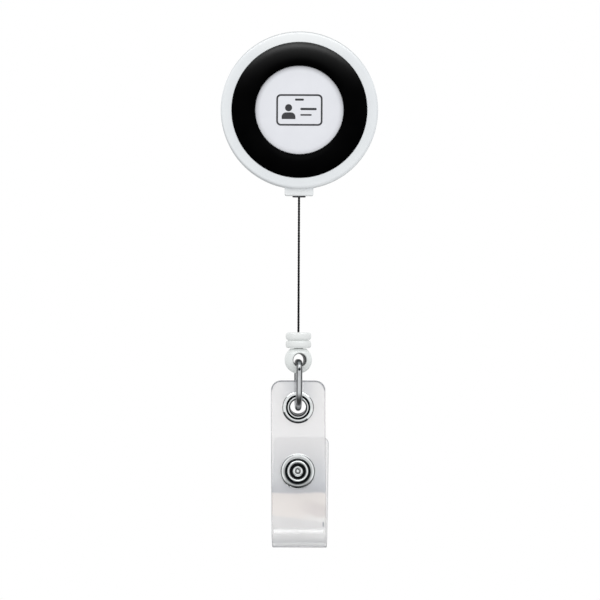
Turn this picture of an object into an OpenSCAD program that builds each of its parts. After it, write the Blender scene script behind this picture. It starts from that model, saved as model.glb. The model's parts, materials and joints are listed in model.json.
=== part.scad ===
// Retractable badge reel: a round sprung reel with a slide-on belt clip, a cord,
// a ball-end swivel, a wire link and a folding snap strap that holds a card.
//
// The object hangs upright. +Z is up, the labelled face looks along -Y, and the
// origin is the middle of the label's face, which lies on the spool's axis.
// All sizes are in millimetres.

/* [Reel housing] */
// Diameter of the round housing
reel_d = 32; // [31.5:0.5:36]
// Depth of the back cover, from the parting line to its flat back
back_depth = 4.8; // [4.6:0.1:6]
// Depth of the front cover, from the parting line to its rim
front_depth = 4.4; // [4.2:0.1:5]
// Thickness of the housing's side wall
wall_t = 1.4; // [1.3:0.1:1.5]
// Radius that rounds the housing's front and back edges
edge_r = 1.2; // [0.8:0.1:1.3]

/* [Face] */
// Outer diameter of the dark trim ring
ring_d = 27.5; // [26:0.5:27.5]
// Diameter of the round label
label_d = 18; // [15:0.5:19]
// Thickness of the label
label_t = 0.6; // [0.4:0.1:0.8]
// Height of the trim ring's rounded crown above its edges
ring_rise = 0.65; // [0.4:0.05:0.8]

/* [Cord] */
// Length of cord pulled out of the nozzle, as drawn
cord_out = 27.5; // [10:0.5:60]
// Diameter of the cord
cord_d = 0.5; // [0.4:0.05:0.6]
// Layers of cord wound on the spool
wound_layers = 4; // [2:1:4]

/* [Ball end] */
// Outer diameter of the two bumper rings above the ball
stop_d = 5.2; // [4.8:0.1:6]
// Diameter of the ball
ball_d = 5.58; // [5.4:0.02:6]
// Diameter of the ball's cross hole
ball_hole_d = 2.4; // [2.2:0.05:2.5]

/* [Link] */
// Diameter of the link's wire
wire_d = 1.24; // [1:0.02:1.3]
// Length of the link, between the middles of its top and bottom wires
link_len = 9.26; // [8.8:0.02:12]

/* [Strap] */
// Width of the vinyl strip
strap_w = 11.1; // [10:0.1:14]
// Thickness of the vinyl strip
strap_t = 0.5; // [0.4:0.05:0.5]
// Length of the strip, folded
strap_len = 34.1; // [33:0.1:45]
// Length of the flap that folds up behind, from the bottom of the fold
flap_len = 22.5; // [21:0.1:24]
// Radius of the middle of the strip where it folds
fold_r = 1.5; // [1.2:0.1:1.8]

/* [Belt clip] */
// Width of the clip's spring strip
clip_w = 10.5; // [9:0.5:11]
// Thickness of the spring strip
clip_t = 0.5; // [0.4:0.05:0.5]

/* [Hidden] */
$fn = 96;

// Gap between parts that fit together, and the gap of a running fit
fit_gap = 0.05;
// How far a cutting shape runs past the face that it cuts
cut = 1;

// Housing. Depths are heights towards the front, so a height h lies at y = -h.
reel_r = reel_d / 2;
cavity_r = reel_r - wall_t;
floor_h = -back_depth + 1.2;
plate_t = 1;
seat_h = front_depth - 0.8;
ring_r = ring_d / 2;
seat_r = ring_r + 0.1;
label_r = label_d / 2;
lip_r = cavity_r + 0.6;
lip_h = 1;

// Nozzle, where the cord leaves the housing
nozzle_w = 5.85;
nozzle_depth = 5.2;
nozzle_bottom = reel_r + 1.4;
nozzle_corner_r = 0.3;
guide_r = 0.9;
guide_hole_r = 0.45;
guide_flange_r = 1.35;
guide_flange_t = 0.3;
guide_bottom = -nozzle_bottom - guide_flange_t;

// Centre post and spool
post_r = 3;
post_bore_r = 2.2;
post_h = 2.4;
pin_r = 2.1;
pin_h = 0.5;
hub_r = 4;
drum_r = 10.6;
drum_t = 0.8;
flange_r = cavity_r - 0.7;
flange_t = 0.7;
groove_half = 0.9;
spool_h = 2.4;
web_t = 0.8;
drum_back_h = floor_h + 0.3;

// Cord
cord_r = cord_d / 2;
wound_columns = 3;
wound_r = drum_r + wound_layers * cord_d;
lead_r = wound_r + cord_r + 0.12;
lead_end = -cavity_r + 0.6;

// Cord stop and ball, down the cord
stop_r = stop_d / 2;
stop_top = guide_bottom - cord_out;
stop_len = 3.2;
stop_bottom = stop_top - stop_len;
stop_cavity_r = 1.5;
knot_r = 0.55;
knot_z = stop_top - 1.4;
ball_r = ball_d / 2;
ball_z = stop_bottom - 2.4;
ball_hole_r = ball_hole_d / 2;
neck_r = 0.9;
head_r = 1.3;

// Link: it hangs in the ball's cross hole
wire_r = wire_d / 2;
link_top = ball_z - ball_hole_r + wire_r + 0.06;
link_bottom = link_top - link_len;
link_half = ball_r + 1.06;
link_bend_r = 1.4;

// Strap
eyelet_z = link_bottom + 0.08;
strap_top = eyelet_z + 5.5;
snap_z = eyelet_z - 13;
fold_z = strap_top - strap_len + fold_r + strap_t / 2;
strap_half = strap_t / 2;
layer_mid = 0.9;
flap_h = -2 * layer_mid;
flap_top = strap_top - strap_len + flap_len;
bulge_z = snap_z - 5;
strap_corner_r = 2.05;
flap_corner_r = 0.8;
eyelet_bore_r = 1.65;
eyelet_barrel_r = 1.9;
eyelet_r = 3.26;
snap_bore_r = 1.7;
snap_barrel_r = 1.95;
snap_r = 3.57;
stud_r = 1.22;
shank_r = 0.6;

// Belt clip, on its rivet behind the housing
pad_t = 0.4;
pad_r = 5.5;
washer_t = 0.2;
rivet_r = 1;
clip_h = -back_depth - pad_t - washer_t;
clip_back_h = clip_h - clip_t;
clip_top = 12;
clip_bottom = -11;
clip_corner_r = 2;
bend_r = 1.3;
bend_y = -clip_h + clip_t / 2 + bend_r;
bend_gap_deg = 14;
touch_z = -8;
tip_z = -12;
touch_y = -clip_back_h + clip_t / 2 + 0.1;
tip_y = touch_y + 1.35;

// ---- Helpers -------------------------------------------------------------

// Pieces are drawn about the parting line of the covers, which is also the middle
// of the cord. This sets them back, so that the label's face is at y = 0.
module in_frame() {
    translate([0, seat_h + label_t, 0]) children();
}

// Turns a profile about the Y direction. The profile is drawn as radius and
// height, with height towards the front.
module turned() {
    rotate([90, 0, 0]) rotate_extrude() children();
}

// A rectangle of a profile, between two radii and two heights
module band(r0, r1, h0, h1) {
    translate([r0, h0]) square([r1 - r0, h1 - h0]);
}

// A plate seen from the front, between two heights
module plate(h0, h1) {
    rotate([90, 0, 0]) translate([0, 0, h0]) linear_extrude(h1 - h0) children();
}

// A round bar along Z
module bar_z(r, z0, z1) {
    translate([0, 0, z0]) cylinder(r = r, h = z1 - z0);
}

// A round hole or bar along the Y direction, through everything
module through_y(r, z, length = 20) {
    translate([0, length / 2, z]) rotate([90, 0, 0]) cylinder(r = r, h = length);
}

// The part of a circle that stands above the line from (-half_w, h) to
// (half_w, h), as a low dome with the given rise
module dome(half_w, h, rise, base) {
    dome_r = (half_w * half_w + rise * rise) / (2 * rise);
    intersection() {
        translate([-half_w, base]) square([2 * half_w, h + rise - base]);
        translate([0, h + rise - dome_r]) circle(dome_r, $fn = 180);
    }
}

// An upright rectangle between two heights, with its top or bottom corners round
module strip_outline(w, z0, z1, corner_r, round_top = true) {
    flat_z = round_top ? z0 : z0 + corner_r;
    round_z = round_top ? z1 - corner_r : z0 + corner_r;
    translate([-w / 2, flat_z]) square([w, z1 - z0 - corner_r]);
    translate([-w / 2 + corner_r, z0]) square([w - 2 * corner_r, z1 - z0]);
    for (side = [-1, 1])
        translate([side * (w / 2 - corner_r), round_z]) circle(corner_r);
}

// A strip of the given width, drawn in the side view as depth and height
module side_strip(w) {
    rotate([90, 0, 90]) translate([0, 0, -w / 2]) linear_extrude(w) children();
}

// A bent strip's side view, about the origin, between two angles: 0 is the back,
// 90 the top, 180 the front and 270 the bottom
module bend_outline(t, r, from, to) {
    reach = 3 * r;
    corners = 4;
    intersection() {
        difference() {
            circle(r + t / 2);
            circle(r - t / 2);
        }
        polygon(concat([[0, 0]], [for (i = [0 : corners])
            let (a = from + (to - from) * i / corners) [reach * cos(a), reach * sin(a)]]));
    }
}

// A flat length of strip from one point of the side view to another
module strip_run(w, t, y0, z0, y1, z1) {
    run = norm([y1 - y0, z1 - z0]);
    tilt = atan2(y1 - y0, z0 - z1);
    translate([0, y0, z0]) rotate([tilt, 0, 0])
        translate([-w / 2, -t / 2, -run]) cube([w, t, run]);
}

// ---- Housing -------------------------------------------------------------

// Profile of one cover before it is hollowed, from the parting line up
module cover_blank(depth) {
    band(0, reel_r - edge_r, 0, depth);
    band(0, reel_r, 0, depth - edge_r);
    translate([reel_r - edge_r, depth - edge_r]) circle(edge_r);
}

module nozzle_outline() {
    strip_outline(nozzle_w, -nozzle_bottom, -cavity_r + 0.2, nozzle_corner_r, false);
}

module guide_bore() {
    bar_z(guide_r + 0.02, -nozzle_bottom - cut, -cavity_r + 2);
}

module front_cover() {
    color("white") in_frame() {
        difference() {
            union() {
                turned() cover_blank(front_depth);
                plate(0, nozzle_depth / 2) nozzle_outline();
            }
            turned() {
                band(0, cavity_r, -cut, seat_h - plate_t);
                band(0, lip_r + fit_gap, -cut, lip_h + fit_gap);
                band(0, seat_r, seat_h, front_depth + cut);
            }
            guide_bore();
        }
        // pin that centres the cover in the post
        turned() band(0, pin_r, pin_h, seat_h - plate_t);
    }
}

module back_cover() {
    slot_w = 0.4;
    color("white") in_frame() difference() {
        union() {
            difference() {
                union() {
                    turned() mirror([0, 1]) cover_blank(back_depth);
                    turned() band(0, lip_r, -cut, lip_h);
                    plate(-nozzle_depth / 2, 0) nozzle_outline();
                }
                turned() band(0, cavity_r, floor_h, lip_h + cut);
            }
            turned() band(0, post_r, floor_h, post_h);
            turned() band(0, pad_r, -back_depth - pad_t, -back_depth);
        }
        turned() band(0, post_bore_r, floor_h, post_h + cut);
        turned() band(0, rivet_r + fit_gap, -back_depth - pad_t - cut, floor_h + cut);
        // slot for the spring's inner end
        translate([0, -post_h, 0]) cube([2 * post_r, 8, slot_w], center = true);
        guide_bore();
    }
}

module trim_ring() {
    half_w = (ring_r - label_r - 0.05) / 2;
    color("black") in_frame() turned() translate([ring_r - half_w, 0])
        dome(half_w, front_depth + 0.1, ring_rise, seat_h);
}

module label_disc() {
    bevel = 0.15;
    color("gainsboro") in_frame() turned() {
        band(0, label_r, seat_h, seat_h + label_t - bevel);
        band(0, label_r - bevel, seat_h, seat_h + label_t);
    }
}

module cord_guide() {
    inner_z = -cavity_r + 0.1;
    color("dimgray") in_frame() difference() {
        union() {
            bar_z(guide_r, -nozzle_bottom, inner_z);
            bar_z(guide_flange_r, guide_bottom, -nozzle_bottom);
            bar_z(guide_flange_r, inner_z, inner_z + guide_flange_t);
        }
        bar_z(guide_hole_r, guide_bottom - cut, inner_z + cut);
    }
}

module clip_rivet() {
    head_r = 2.2;
    color("silver") in_frame() turned() {
        band(0, 1.9, floor_h, floor_h + 0.5);
        band(0, rivet_r, clip_back_h, floor_h);
        mirror([0, 1]) intersection() {
            dome(head_r, -clip_back_h + 0.15, 0.3, -clip_back_h);
            band(0, head_r, -clip_back_h, -clip_back_h + cut);
        }
    }
}

module rivet_washer() {
    color("goldenrod") in_frame() turned() band(rivet_r + fit_gap, 2.8, clip_h, clip_h + washer_t);
}

// ---- Spool and spring ----------------------------------------------------

// The spool runs on the post. Its drum holds the spring, and its groove the cord.
module spool() {
    windows = 3;
    window_r = 1.6;
    color("lightgray") in_frame() difference() {
        turned() {
            band(post_r + fit_gap, hub_r, 1, spool_h);
            band(post_r + fit_gap, drum_r, spool_h - web_t, spool_h);
            band(drum_r - drum_t, drum_r, drum_back_h, spool_h);
            for (base = [groove_half, -groove_half - flange_t])
                band(drum_r - drum_t / 2, flange_r, base, base + flange_t);
        }
        for (i = [0 : windows - 1])
            rotate([0, i * 360 / windows, 0]) through_y(window_r, 7);
        // hole for the cord's inner end
        translate([drum_r - 2 * drum_t, 0, 0]) rotate([0, 90, 0]) cylinder(r = cord_r + fit_gap, h = 2 * drum_t);
        // notch for the spring's outer end
        translate([-drum_r, -drum_back_h - 2, 0]) cube([2, 4.4, 0.5], center = true);
    }
}

// Flat spiral spring, with its outer end hooked in the drum's notch
module power_spring() {
    turns = 9;
    steps = 30;
    strip_t = 0.15;
    inner_r = post_r + 0.15;
    outer_r = drum_r - drum_t - 0.1;
    count = turns * steps;
    function spiral(i, offset) =
        let (r = inner_r + (outer_r - strip_t - inner_r) * i / count + offset, a = 180 + i * 360 / steps)
        [r * cos(a), r * sin(a)];
    hook = [for (x = [strip_t - outer_r, 0.1 - drum_r]) [x, -strip_t]];
    color("slategray") in_frame() plate(floor_h + 0.5, 0.6) polygon(concat(
        [for (i = [0 : count]) spiral(i, 0)],
        hook,
        [[0.1 - drum_r, 0]],
        [for (i = [count : -1 : 0]) spiral(i, strip_t)]
    ));
}

module spring_retainer() {
    color("tan") in_frame() turned() band(post_r + 0.1, drum_r - drum_t - 0.1, floor_h + 0.1, floor_h + 0.35);
}

// Rings of cord stacked in the spool's groove
module cord_wound() {
    color("black") in_frame() turned() for (layer = [0 : wound_layers - 1], column = [0 : wound_columns - 1])
        translate([drum_r + cord_r + fit_gap + layer * cord_d, (column - (wound_columns - 1) / 2) * (cord_d + 0.05)])
            circle(cord_r + 0.03, $fn = 24);
}

// ---- Cord and ball end ---------------------------------------------------

// The run from the wound cord to the nozzle: a tangent, then straight down
module cord_lead() {
    angle = acos(lead_r / -lead_end);
    run = sqrt(lead_end * lead_end - lead_r * lead_r);
    color("black") in_frame() {
        translate([0, 0, lead_end]) sphere(cord_r, $fn = 32);
        translate([0, 0, lead_end]) rotate([0, 90 - angle, 0]) cylinder(r = cord_r, h = run);
        bar_z(cord_r, guide_bottom, lead_end);
    }
}

// The cord outside the housing, knotted inside the cord stop
module cord() {
    color("black") in_frame() {
        bar_z(cord_r, knot_z, guide_bottom - 0.02);
        translate([0, 0, knot_z]) sphere(knot_r, $fn = 32);
    }
}

// Two rounded bumper rings, hollow for the knot and for the ball's swivel head
module cord_stop() {
    ring_t = stop_len / 2;
    edge = ring_t / 2 - 0.02;
    color("white") in_frame() rotate_extrude() difference() {
        union() {
            band(0, stop_r - edge, stop_bottom, stop_top);
            for (i = [0, 1])
                translate([stop_r - edge, stop_bottom + (i + 0.5) * ring_t]) circle(edge, $fn = 48);
        }
        band(0, cord_r + 0.15, stop_bottom - cut, stop_top + cut);
        band(0, stop_cavity_r, stop_bottom + 0.5, stop_top - 0.8);
        band(0, neck_r + fit_gap, stop_bottom - cut, stop_bottom + cut);
    }
}

// Ball with a cross hole. Its neck turns in the cord stop.
module ball_end() {
    color("white") in_frame() difference() {
        rotate_extrude() {
            intersection() {
                translate([0, ball_z]) circle(ball_r);
                band(0, ball_r, ball_z - ball_r, stop_bottom - 0.1);
            }
            band(0, neck_r, ball_z + ball_hole_r, stop_bottom + 0.7);
            band(0, head_r, stop_bottom + 0.55, stop_bottom + 1.05);
        }
        through_y(ball_hole_r, ball_z);
    }
}

// Closed wire loop: square-shouldered at the ball, half round at the eyelet
module link() {
    arc_z = link_bottom + link_half;
    shoulder_z = link_top - link_bend_r;
    color("silver") in_frame() {
        through_y(wire_r, link_top, 2 * (link_half - link_bend_r));
        for (side = [0, 1]) mirror([0, side, 0]) {
            translate([0, link_half, arc_z]) cylinder(r = wire_r, h = shoulder_z - arc_z);
            translate([0, link_half - link_bend_r, shoulder_z]) rotate([90, 0, 90])
                rotate_extrude(angle = 90) translate([link_bend_r, 0]) circle(wire_r, $fn = 48);
        }
        translate([0, 0, arc_z]) rotate([90, 0, 90]) rotate([0, 0, 180])
            rotate_extrude(angle = 180) translate([link_half, 0]) circle(wire_r, $fn = 48);
    }
}

// ---- Strap ---------------------------------------------------------------

// Side view of one layer of the strap, in front of (-1) or behind (1) the middle
// between the layers: straight down past the snap, then spread to meet the fold
module layer_outline(side, top) {
    inner = side * (layer_mid - strap_half);
    outer = side * (layer_mid + strap_half);
    spread = side * (fold_r - layer_mid);
    translate([layer_mid, 0]) polygon([
        [inner, top], [outer, top], [outer, bulge_z],
        [outer + spread, fold_z], [inner + spread, fold_z], [inner, bulge_z],
    ]);
}

module strap_front() {
    color("whitesmoke") in_frame() difference() {
        intersection() {
            side_strip(strap_w) layer_outline(-1, strap_top);
            plate(-5, 5) strip_outline(strap_w, fold_z, strap_top, strap_corner_r);
        }
        through_y(eyelet_barrel_r + 0.02, eyelet_z);
        through_y(snap_barrel_r + 0.02, snap_z);
    }
}

module strap_fold() {
    color("whitesmoke") in_frame() side_strip(strap_w)
        translate([layer_mid, fold_z]) bend_outline(strap_t, fold_r, 180, 360);
}

module strap_flap() {
    color("whitesmoke") in_frame() difference() {
        intersection() {
            side_strip(strap_w) layer_outline(1, flap_top);
            plate(-5, 5) strip_outline(strap_w, fold_z, flap_top, flap_corner_r);
        }
        through_y(shank_r + fit_gap, snap_z);
    }
}

module eyelet() {
    roll_r = 0.35;
    color("silver") in_frame() translate([0, 0, eyelet_z]) turned() {
        band(eyelet_bore_r, eyelet_barrel_r, -0.75, strap_half + 0.4);
        band(eyelet_bore_r, eyelet_r, strap_half, strap_half + 0.25);
        translate([eyelet_bore_r + roll_r, strap_half + roll_r]) circle(roll_r, $fn = 32);
        translate([eyelet_barrel_r + 0.1, -0.76]) circle(0.25, $fn = 32);
    }
}

module eyelet_washer() {
    color("silver") in_frame() translate([0, 0, eyelet_z]) turned()
        band(eyelet_barrel_r + 0.02, 3.2, -strap_half - 0.25, -strap_half);
}

// Ring on the strap's front, riveted through the strap over the socket
module snap_ring() {
    rim_r = 0.22;
    crown_r = 0.3;
    color("silver") in_frame() translate([0, 0, snap_z]) turned() {
        band(snap_bore_r, snap_barrel_r, -0.7, strap_half + 0.3);
        band(snap_bore_r, snap_r - rim_r, strap_half, strap_half + 0.25);
        translate([snap_r - rim_r, strap_half + rim_r]) circle(rim_r, $fn = 32);
        translate([snap_bore_r + crown_r, strap_half + crown_r + 0.1]) circle(crown_r, $fn = 32);
        band(snap_bore_r, snap_barrel_r + 0.2, -0.7, -0.52);
    }
}

// Cup behind the strap that keeps the ring spring
module snap_socket() {
    wall_r = 2.5;
    color("silver") in_frame() translate([0, 0, snap_z]) turned() {
        band(snap_barrel_r + 0.02, 3.3, -0.5, -strap_half);
        band(wall_r - 0.25, wall_r, -1.2, -0.4);
        band(1.45, wall_r, -1.2, -1.02);
    }
}

module snap_spring() {
    color("slategray") in_frame() translate([0, 0, snap_z]) turned()
        translate([1.5, -0.86]) circle(0.12, $fn = 24);
}

// Stud on the flap. Its round head is seen through the snap ring.
module snap_stud() {
    base_h = flap_h + strap_half;
    color("silver") in_frame() translate([0, 0, snap_z]) turned() difference() {
        union() {
            band(0, 2.9, base_h, base_h + 0.2);
            intersection() {
                translate([0, -0.75]) circle(stud_r);
                band(0, stud_r, base_h + 0.1, cut);
            }
        }
        band(0, shank_r + 0.02, base_h - cut, -0.6);
    }
}

// Domed cap on the flap's back, with a shank set in the stud
module snap_cap() {
    back_h = flap_h - strap_half;
    color("silver") in_frame() translate([0, 0, snap_z]) turned() {
        band(0, shank_r, back_h, -0.65);
        mirror([0, 1]) intersection() {
            dome(3.5, -back_h + 0.25, 0.55, -back_h);
            band(0, 3.5, -back_h, -back_h + cut);
        }
    }
}

// ---- Belt clip -----------------------------------------------------------

// Front half of the clip's spring strip, with most of its top bend
module clip_plate() {
    color("silver") in_frame() difference() {
        intersection() {
            side_strip(clip_w) {
                translate([-clip_h, clip_bottom]) square([clip_t, clip_top - clip_bottom]);
                translate([bend_y, clip_top]) bend_outline(clip_t, bend_r, bend_gap_deg, 180);
            }
            plate(clip_h - 5, clip_h + 5)
                strip_outline(clip_w, clip_bottom, clip_top + 5, clip_corner_r, false);
        }
        turned() band(0, rivet_r + fit_gap, clip_back_h - cut, clip_h + cut);
    }
}

// Back half of the strip: it springs off the plate, and its tip flares out
module clip_tongue() {
    color("silver") in_frame() {
        strip_run(clip_w, clip_t, bend_y + bend_r, clip_top, touch_y, touch_z);
        strip_run(clip_w, clip_t, touch_y, touch_z, tip_y, tip_z);
        for (end = [[touch_y, touch_z], [tip_y, tip_z]])
            translate([-clip_w / 2, end[0], end[1]]) rotate([0, 90, 0]) cylinder(r = clip_t / 2, h = clip_w);
    }
}

front_cover();
back_cover();
trim_ring();
label_disc();
cord_guide();
clip_rivet();
rivet_washer();
cord_lead();
spool();
power_spring();
spring_retainer();
cord_wound();
cord();
cord_stop();
ball_end();
link();
strap_front();
strap_fold();
eyelet();
eyelet_washer();
snap_ring();
snap_socket();
snap_spring();
strap_flap();
snap_stud();
snap_cap();
clip_plate();
clip_tongue();
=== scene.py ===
"""Looks of a retractable badge reel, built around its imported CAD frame.

All shape values are in millimetres, in the frame's own axes: +Z is up, and the
labelled face looks along -Y. They become metres when a mesh is made.
"""
import json
from math import asin, atan2, cos, degrees, hypot, pi, radians, remainder, sin, sqrt, tan

import bmesh
import bpy
import numpy as np
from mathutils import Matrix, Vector


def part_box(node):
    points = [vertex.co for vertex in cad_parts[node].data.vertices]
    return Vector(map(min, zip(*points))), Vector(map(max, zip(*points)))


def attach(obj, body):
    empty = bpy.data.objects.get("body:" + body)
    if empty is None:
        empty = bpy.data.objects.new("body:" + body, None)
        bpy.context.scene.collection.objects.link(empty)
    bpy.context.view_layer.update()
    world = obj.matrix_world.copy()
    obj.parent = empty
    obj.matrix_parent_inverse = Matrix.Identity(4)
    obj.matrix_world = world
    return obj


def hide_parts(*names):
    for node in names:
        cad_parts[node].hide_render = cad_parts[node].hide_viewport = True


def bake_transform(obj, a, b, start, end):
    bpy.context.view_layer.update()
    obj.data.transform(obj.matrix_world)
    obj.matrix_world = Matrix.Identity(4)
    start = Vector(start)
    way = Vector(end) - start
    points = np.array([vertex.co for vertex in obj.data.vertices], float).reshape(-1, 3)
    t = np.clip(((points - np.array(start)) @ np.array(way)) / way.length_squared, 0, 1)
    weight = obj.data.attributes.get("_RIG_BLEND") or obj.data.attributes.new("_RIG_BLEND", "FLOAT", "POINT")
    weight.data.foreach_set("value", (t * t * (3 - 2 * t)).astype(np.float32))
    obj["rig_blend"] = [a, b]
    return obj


MM = 0.001
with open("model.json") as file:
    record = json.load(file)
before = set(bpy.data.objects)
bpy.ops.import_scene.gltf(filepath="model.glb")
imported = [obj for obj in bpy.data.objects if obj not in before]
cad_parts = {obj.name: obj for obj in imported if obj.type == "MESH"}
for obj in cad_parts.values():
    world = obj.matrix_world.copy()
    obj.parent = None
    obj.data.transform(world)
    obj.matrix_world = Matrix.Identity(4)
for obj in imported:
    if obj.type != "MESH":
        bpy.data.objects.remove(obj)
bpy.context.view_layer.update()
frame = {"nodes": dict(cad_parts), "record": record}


def box(node):
    """Lowest and highest corner of a CAD node, in millimetres."""
    low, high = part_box(node)
    return low / MM, high / MM


# ---- Places and sizes read from the CAD ----

front_low, front_high = box("front_cover")
_, back_high = box("back_cover")
ring_low, ring_high = box("trim_ring")
label_low, label_high = box("label_disc")
guide_low, guide_high = box("cord_guide")
stop_low, stop_high = box("cord_stop")
ball_low, ball_high = box("ball_end")
link_low, link_high = box("link")
strap_low, strap_high = box("strap_front")
fold_low, fold_high = box("strap_fold")
flap_low, flap_high = box("strap_flap")
eyelet_low, eyelet_high = box("eyelet")
snap_low, snap_high = box("snap_ring")
plate_low, plate_high = box("clip_plate")
tongue_low, _ = box("clip_tongue")

PART_Y = front_high.y  # parting line of the covers
PART = Vector((0, PART_Y, 0))
REEL_R = front_high.x
RIM_H = PART_Y - front_low.y
SEAT_H = PART_Y - ring_high.y
LABEL_R = label_high.x
LABEL_H = PART_Y - label_low.y
RING_R = ring_high.x
CROWN_H = PART_Y - ring_low.y
PAD_H = PART_Y - back_high.y
NOZZLE_Z = front_low.z
STRAP_T = 0.5  # thickness of the vinyl
STRAP_HALF = (strap_high.x - strap_low.x) / 2
STRAP_Y = strap_high.y - STRAP_T / 2  # middle of the front layer
FLAP_Y = flap_low.y + STRAP_T / 2  # middle of the back layer
HINGE = Vector((0, (fold_low.y + fold_high.y) / 2, fold_high.z))
EYELET_Z = (eyelet_low.z + eyelet_high.z) / 2
SNAP_Z = (snap_low.z + snap_high.z) / 2
BALL_R = ball_high.x
BALL_Z = ball_low.z + BALL_R
BALL_TURN = radians(8)  # the ball hangs turned on its swivel
BALL_HOLE = 1.28  # radius of its cross hole
LINK_TURN = radians(3.4)  # the link hangs turned a little too


# ---- Mesh helpers ----

def rounded(corners, closed=False, steps=5):
    """An outline whose corners (x, y, radius) are replaced by arcs."""
    outline = []
    count = len(corners)
    for i, (x, y, radius) in enumerate(corners):
        if radius == 0 or (not closed and i in (0, count - 1)):
            outline.append((x, y))
            continue
        corner = Vector((x, y))
        back = (Vector(corners[i - 1][:2]) - corner).normalized()
        ahead = (Vector(corners[(i + 1) % count][:2]) - corner).normalized()
        half = back.angle(ahead) / 2
        centre = corner + (back + ahead).normalized() * radius / sin(half)
        start = corner + back * radius / tan(half) - centre
        end = corner + ahead * radius / tan(half) - centre
        first = atan2(start.y, start.x)
        turn = remainder(atan2(end.y, end.x) - first, 2 * pi)
        for k in range(steps + 1):
            angle = first + turn * k / steps
            outline.append((centre.x + radius * cos(angle), centre.y + radius * sin(angle)))
    return outline


def arc(x, y, radius, start, end, steps):
    """Points of an arc about (x, y), in degrees, with no fillet at any of them."""
    angles = [radians(start + (end - start) * k / steps) for k in range(steps + 1)]
    return [(x + radius * cos(a), y + radius * sin(a), 0) for a in angles]


def add_object(name, mesh):
    """A new object with this mesh, linked to the scene."""
    obj = bpy.data.objects.new(name, mesh)
    bpy.context.scene.collection.objects.link(obj)
    return obj


def object_from(work, name):
    """A new object from a bmesh, which is freed."""
    mesh = bpy.data.meshes.new(name)
    work.to_mesh(mesh)
    work.free()
    return add_object(name, mesh)


def make(name, points, faces):
    """A mesh object from points in millimetres, with its faces turned outward."""
    mesh = bpy.data.meshes.new(name)
    mesh.from_pydata([tuple(Vector(p) * MM) for p in points], [], faces)
    obj = add_object(name, mesh)
    turn_outward(obj)
    return obj


def turn_outward(obj):
    """Points every face of a closed mesh to the outside."""
    work = bmesh.new()
    work.from_mesh(obj.data)
    bmesh.ops.recalc_face_normals(work, faces=work.faces)
    work.to_mesh(obj.data)
    work.free()


def lathe(name, outline, centre, axis="Y", segments=128, closed=False):
    """Turns an outline of (radius, height). Height runs to the front on Y, up on Z."""
    centre = Vector(centre)
    points, rings = [], []
    for radius, height in outline:
        count = segments if radius > 1e-6 else 1
        rings.append(range(len(points), len(points) + count))
        for k in range(count):
            angle = 2 * pi * k / segments
            across, up = radius * cos(angle), radius * sin(angle)
            offset = (across, -height, up) if axis == "Y" else (across, up, height)
            points.append(centre + Vector(offset))
    faces = []
    pairs = list(zip(rings, rings[1:])) + ([(rings[-1], rings[0])] if closed else [])
    for low, high in pairs:
        for k in range(segments):
            corners = [low[k % len(low)], low[(k + 1) % len(low)]]
            corners += [high[(k + 1) % len(high)], high[k % len(high)]]
            face = list(dict.fromkeys(corners))
            if len(face) > 2:
                faces.append(face)
    return make(name, points, faces)


def tube_faces(count, sides, closed=False):
    """Faces of a tube through rings of points that are numbered in order."""
    faces = []
    for i in range(count if closed else count - 1):
        for k in range(sides):
            a, b = i * sides, (i + 1) % count * sides
            n = (k + 1) % sides
            faces.append([a + k, a + n, b + n, b + k])
    if not closed:
        faces.append(list(range(sides)))
        faces.append(list(range((count - 1) * sides, count * sides)))
    return faces


def sweep(name, path, radius, sides=20, closed=False):
    """A round wire along a path."""
    path = [Vector(p) for p in path]
    count = len(path)
    points = []
    normal = None
    for i, place in enumerate(path):
        before = path[i - 1] if closed or i > 0 else place
        after = path[(i + 1) % count] if closed or i < count - 1 else place
        along = (after - before).normalized()
        if normal is None:
            normal = along.orthogonal().normalized()
        normal = (normal - along * normal.dot(along)).normalized()
        side = along.cross(normal)
        for k in range(sides):
            angle = 2 * pi * k / sides
            out = normal * cos(angle) + side * sin(angle)
            points.append(place + out * radius)
    return make(name, points, tube_faces(count, sides, closed))


def rod(name, radius, start, end, sides=64):
    """A straight round rod."""
    return sweep(name, [start, end], radius, sides)


def block(name, low, high, bevel):
    """A box with rounded edges."""
    low, high = Vector(low), Vector(high)
    work = bmesh.new()
    bmesh.ops.create_cube(work, size=1)
    for vertex in work.verts:
        for i in range(3):
            vertex.co[i] = (low[i] if vertex.co[i] < 0 else high[i]) * MM
    bmesh.ops.bevel(work, geom=work.edges, offset=bevel * MM, segments=4, profile=0.5, affect="EDGES")
    return object_from(work, name)


def carve(target, tool, operation="DIFFERENCE"):
    """Cuts or adds one solid to another, and removes the tool."""
    modifier = target.modifiers.new("carve", "BOOLEAN")
    modifier.object = tool
    modifier.operation = operation
    modifier.solver = "EXACT"
    bpy.context.view_layer.update()
    graph = bpy.context.evaluated_depsgraph_get()
    mesh = bpy.data.meshes.new_from_object(target.evaluated_get(graph))
    target.modifiers.clear()
    target.data = mesh
    bpy.data.objects.remove(tool)


def join(name, objects):
    """Puts the meshes of several objects in one new object."""
    work = bmesh.new()
    for obj in objects:
        work.from_mesh(obj.data)
        bpy.data.objects.remove(obj)
    return object_from(work, name)


def dress(obj, slot, body=None, replaces=(), sharp=32, finish=None):
    """Gives a new piece its material and shading, and puts it on its body. A finish
    is a variation of the slot's material, and sharp is the angle of a hard edge."""
    obj.data.materials.clear()
    obj.data.materials.append(MATERIALS[slot])
    obj.data.shade_smooth()
    obj.data.set_sharp_from_angle(angle=radians(sharp))
    if body:
        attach(obj, body)
    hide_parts(*replaces)
    if finish:
        obj.data.materials[0] = MATERIALS[finish]
    return obj


def turned(name, corners, slot, body, nodes, centre=PART, axis="Y", segments=128,
           closed=True, steps=5, sharp=32):
    """A finished piece, turned from the filleted corners of its section."""
    outline = rounded(corners, closed=closed, steps=steps)
    piece = lathe(name, outline, centre, axis, segments, closed)
    return dress(piece, slot, body, nodes, sharp=sharp)


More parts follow.
